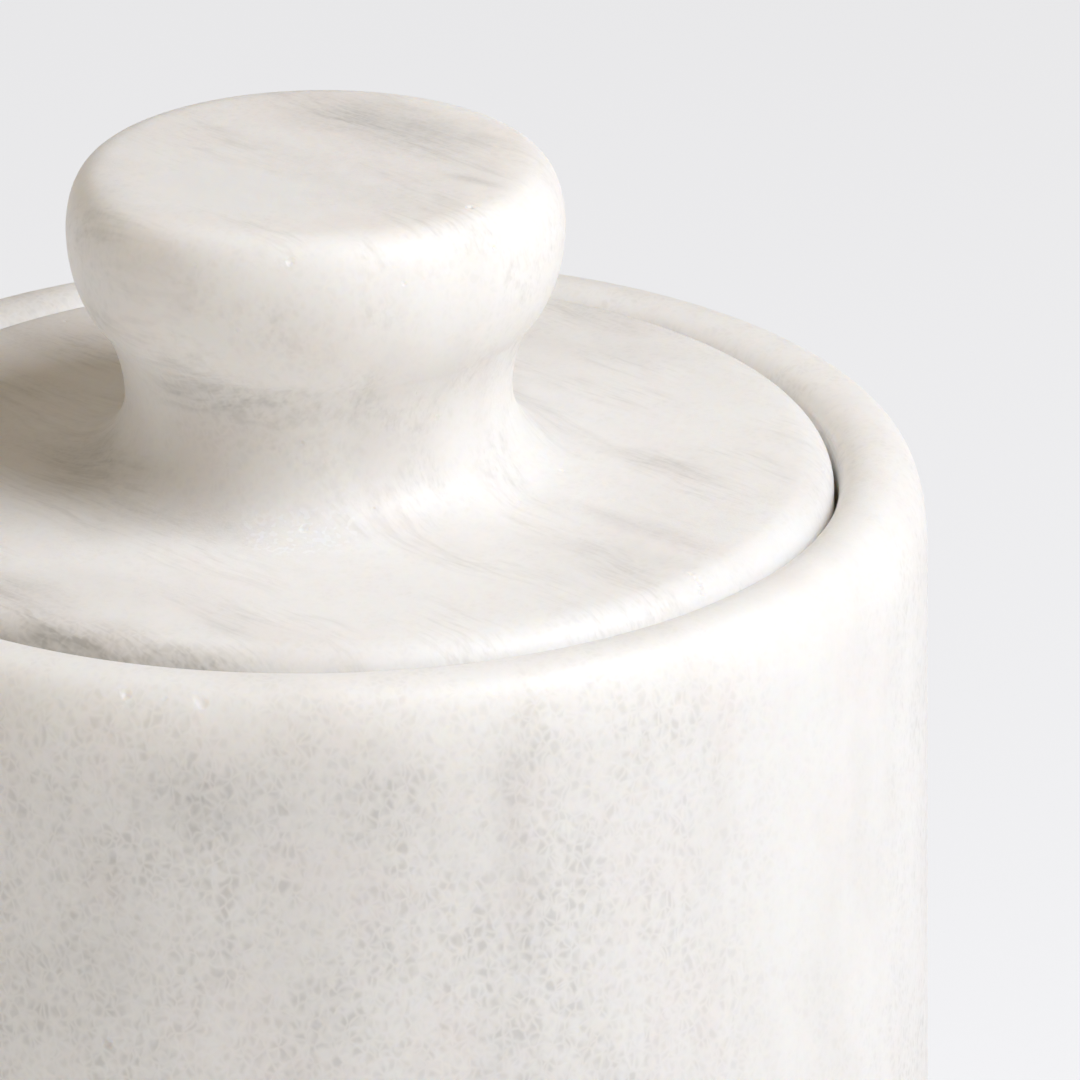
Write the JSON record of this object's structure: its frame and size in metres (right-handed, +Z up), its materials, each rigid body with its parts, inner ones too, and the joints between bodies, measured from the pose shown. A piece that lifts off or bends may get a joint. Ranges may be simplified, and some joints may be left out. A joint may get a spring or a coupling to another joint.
{
  "type": "powder jar",
  "caption": "Thick-walled round marble jar for powder, with an inset marble lid that has a mushroom knob, a silicone cushion ring and pads.",
  "frame": {"origin": "centre of the underside of the foot pads, on the jar's axis", "axes": "+Z up along the jar's axis, from the foot pads towards the knob"},
  "size_m": [0.1014, 0.1014, 0.1064],
  "materials": {
    "jar_marble": "honed",
    "lid_marble": "honed",
    "clear_silicone": "satin"
  },
  "bodies": {
    "jar": {"jar_body": "jar_marble", "foot_pad_1": "clear_silicone", "foot_pad_2": "clear_silicone", "foot_pad_3": "clear_silicone", "foot_pad_4": "clear_silicone"},
    "ring": {"seal_ring": "clear_silicone"},
    "lid": {"lid": "lid_marble"}
  },
  "joints": [
    {"name": "lid_lift", "type": "slide", "parent": "jar", "child": "ring", "axis": [0, 0, 1], "range_m": [0, 0.06]},
    {"name": "lid_turn", "type": "hinge", "parent": "ring", "child": "lid", "pos_m": [0, 0, 0.0739], "axis": [0, 0, 1], "continuous": true}
  ]
}
